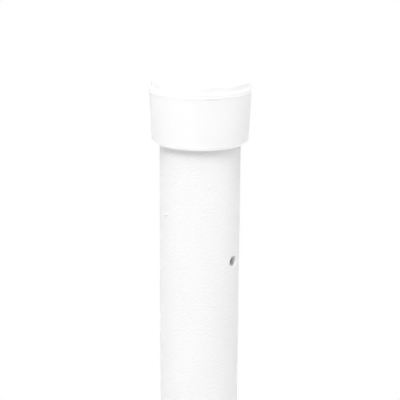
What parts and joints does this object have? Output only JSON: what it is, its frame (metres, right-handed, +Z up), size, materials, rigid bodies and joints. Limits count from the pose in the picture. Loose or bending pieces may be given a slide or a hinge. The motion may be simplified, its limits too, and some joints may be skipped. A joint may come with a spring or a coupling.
{
  "type": "electric fence corner post",
  "caption": "Round hollow plastic corner post for an electric fence, with a pebbled skin, cross-drilled holes for the wires, and a wider smooth cap closed by a snap-in lid.",
  "frame": {"origin": "centre of the tube's lower end, at ground level", "axes": "+Z up along the post; +X along the wire holes, towards the mouth that shows"},
  "size_m": [0.0782, 0.0782, 1.5],
  "materials": {
    "pebbled_tube_plastic": "white, embossed with a fine pebbled grain",
    "smooth_cap_plastic": "white, smooth and satin, as moulded"
  },
  "bodies": {
    "root": {"post_tube": "pebbled_tube_plastic", "cap_cup": "smooth_cap_plastic", "cap_lid": "smooth_cap_plastic"}
  },
  "joints": []
}
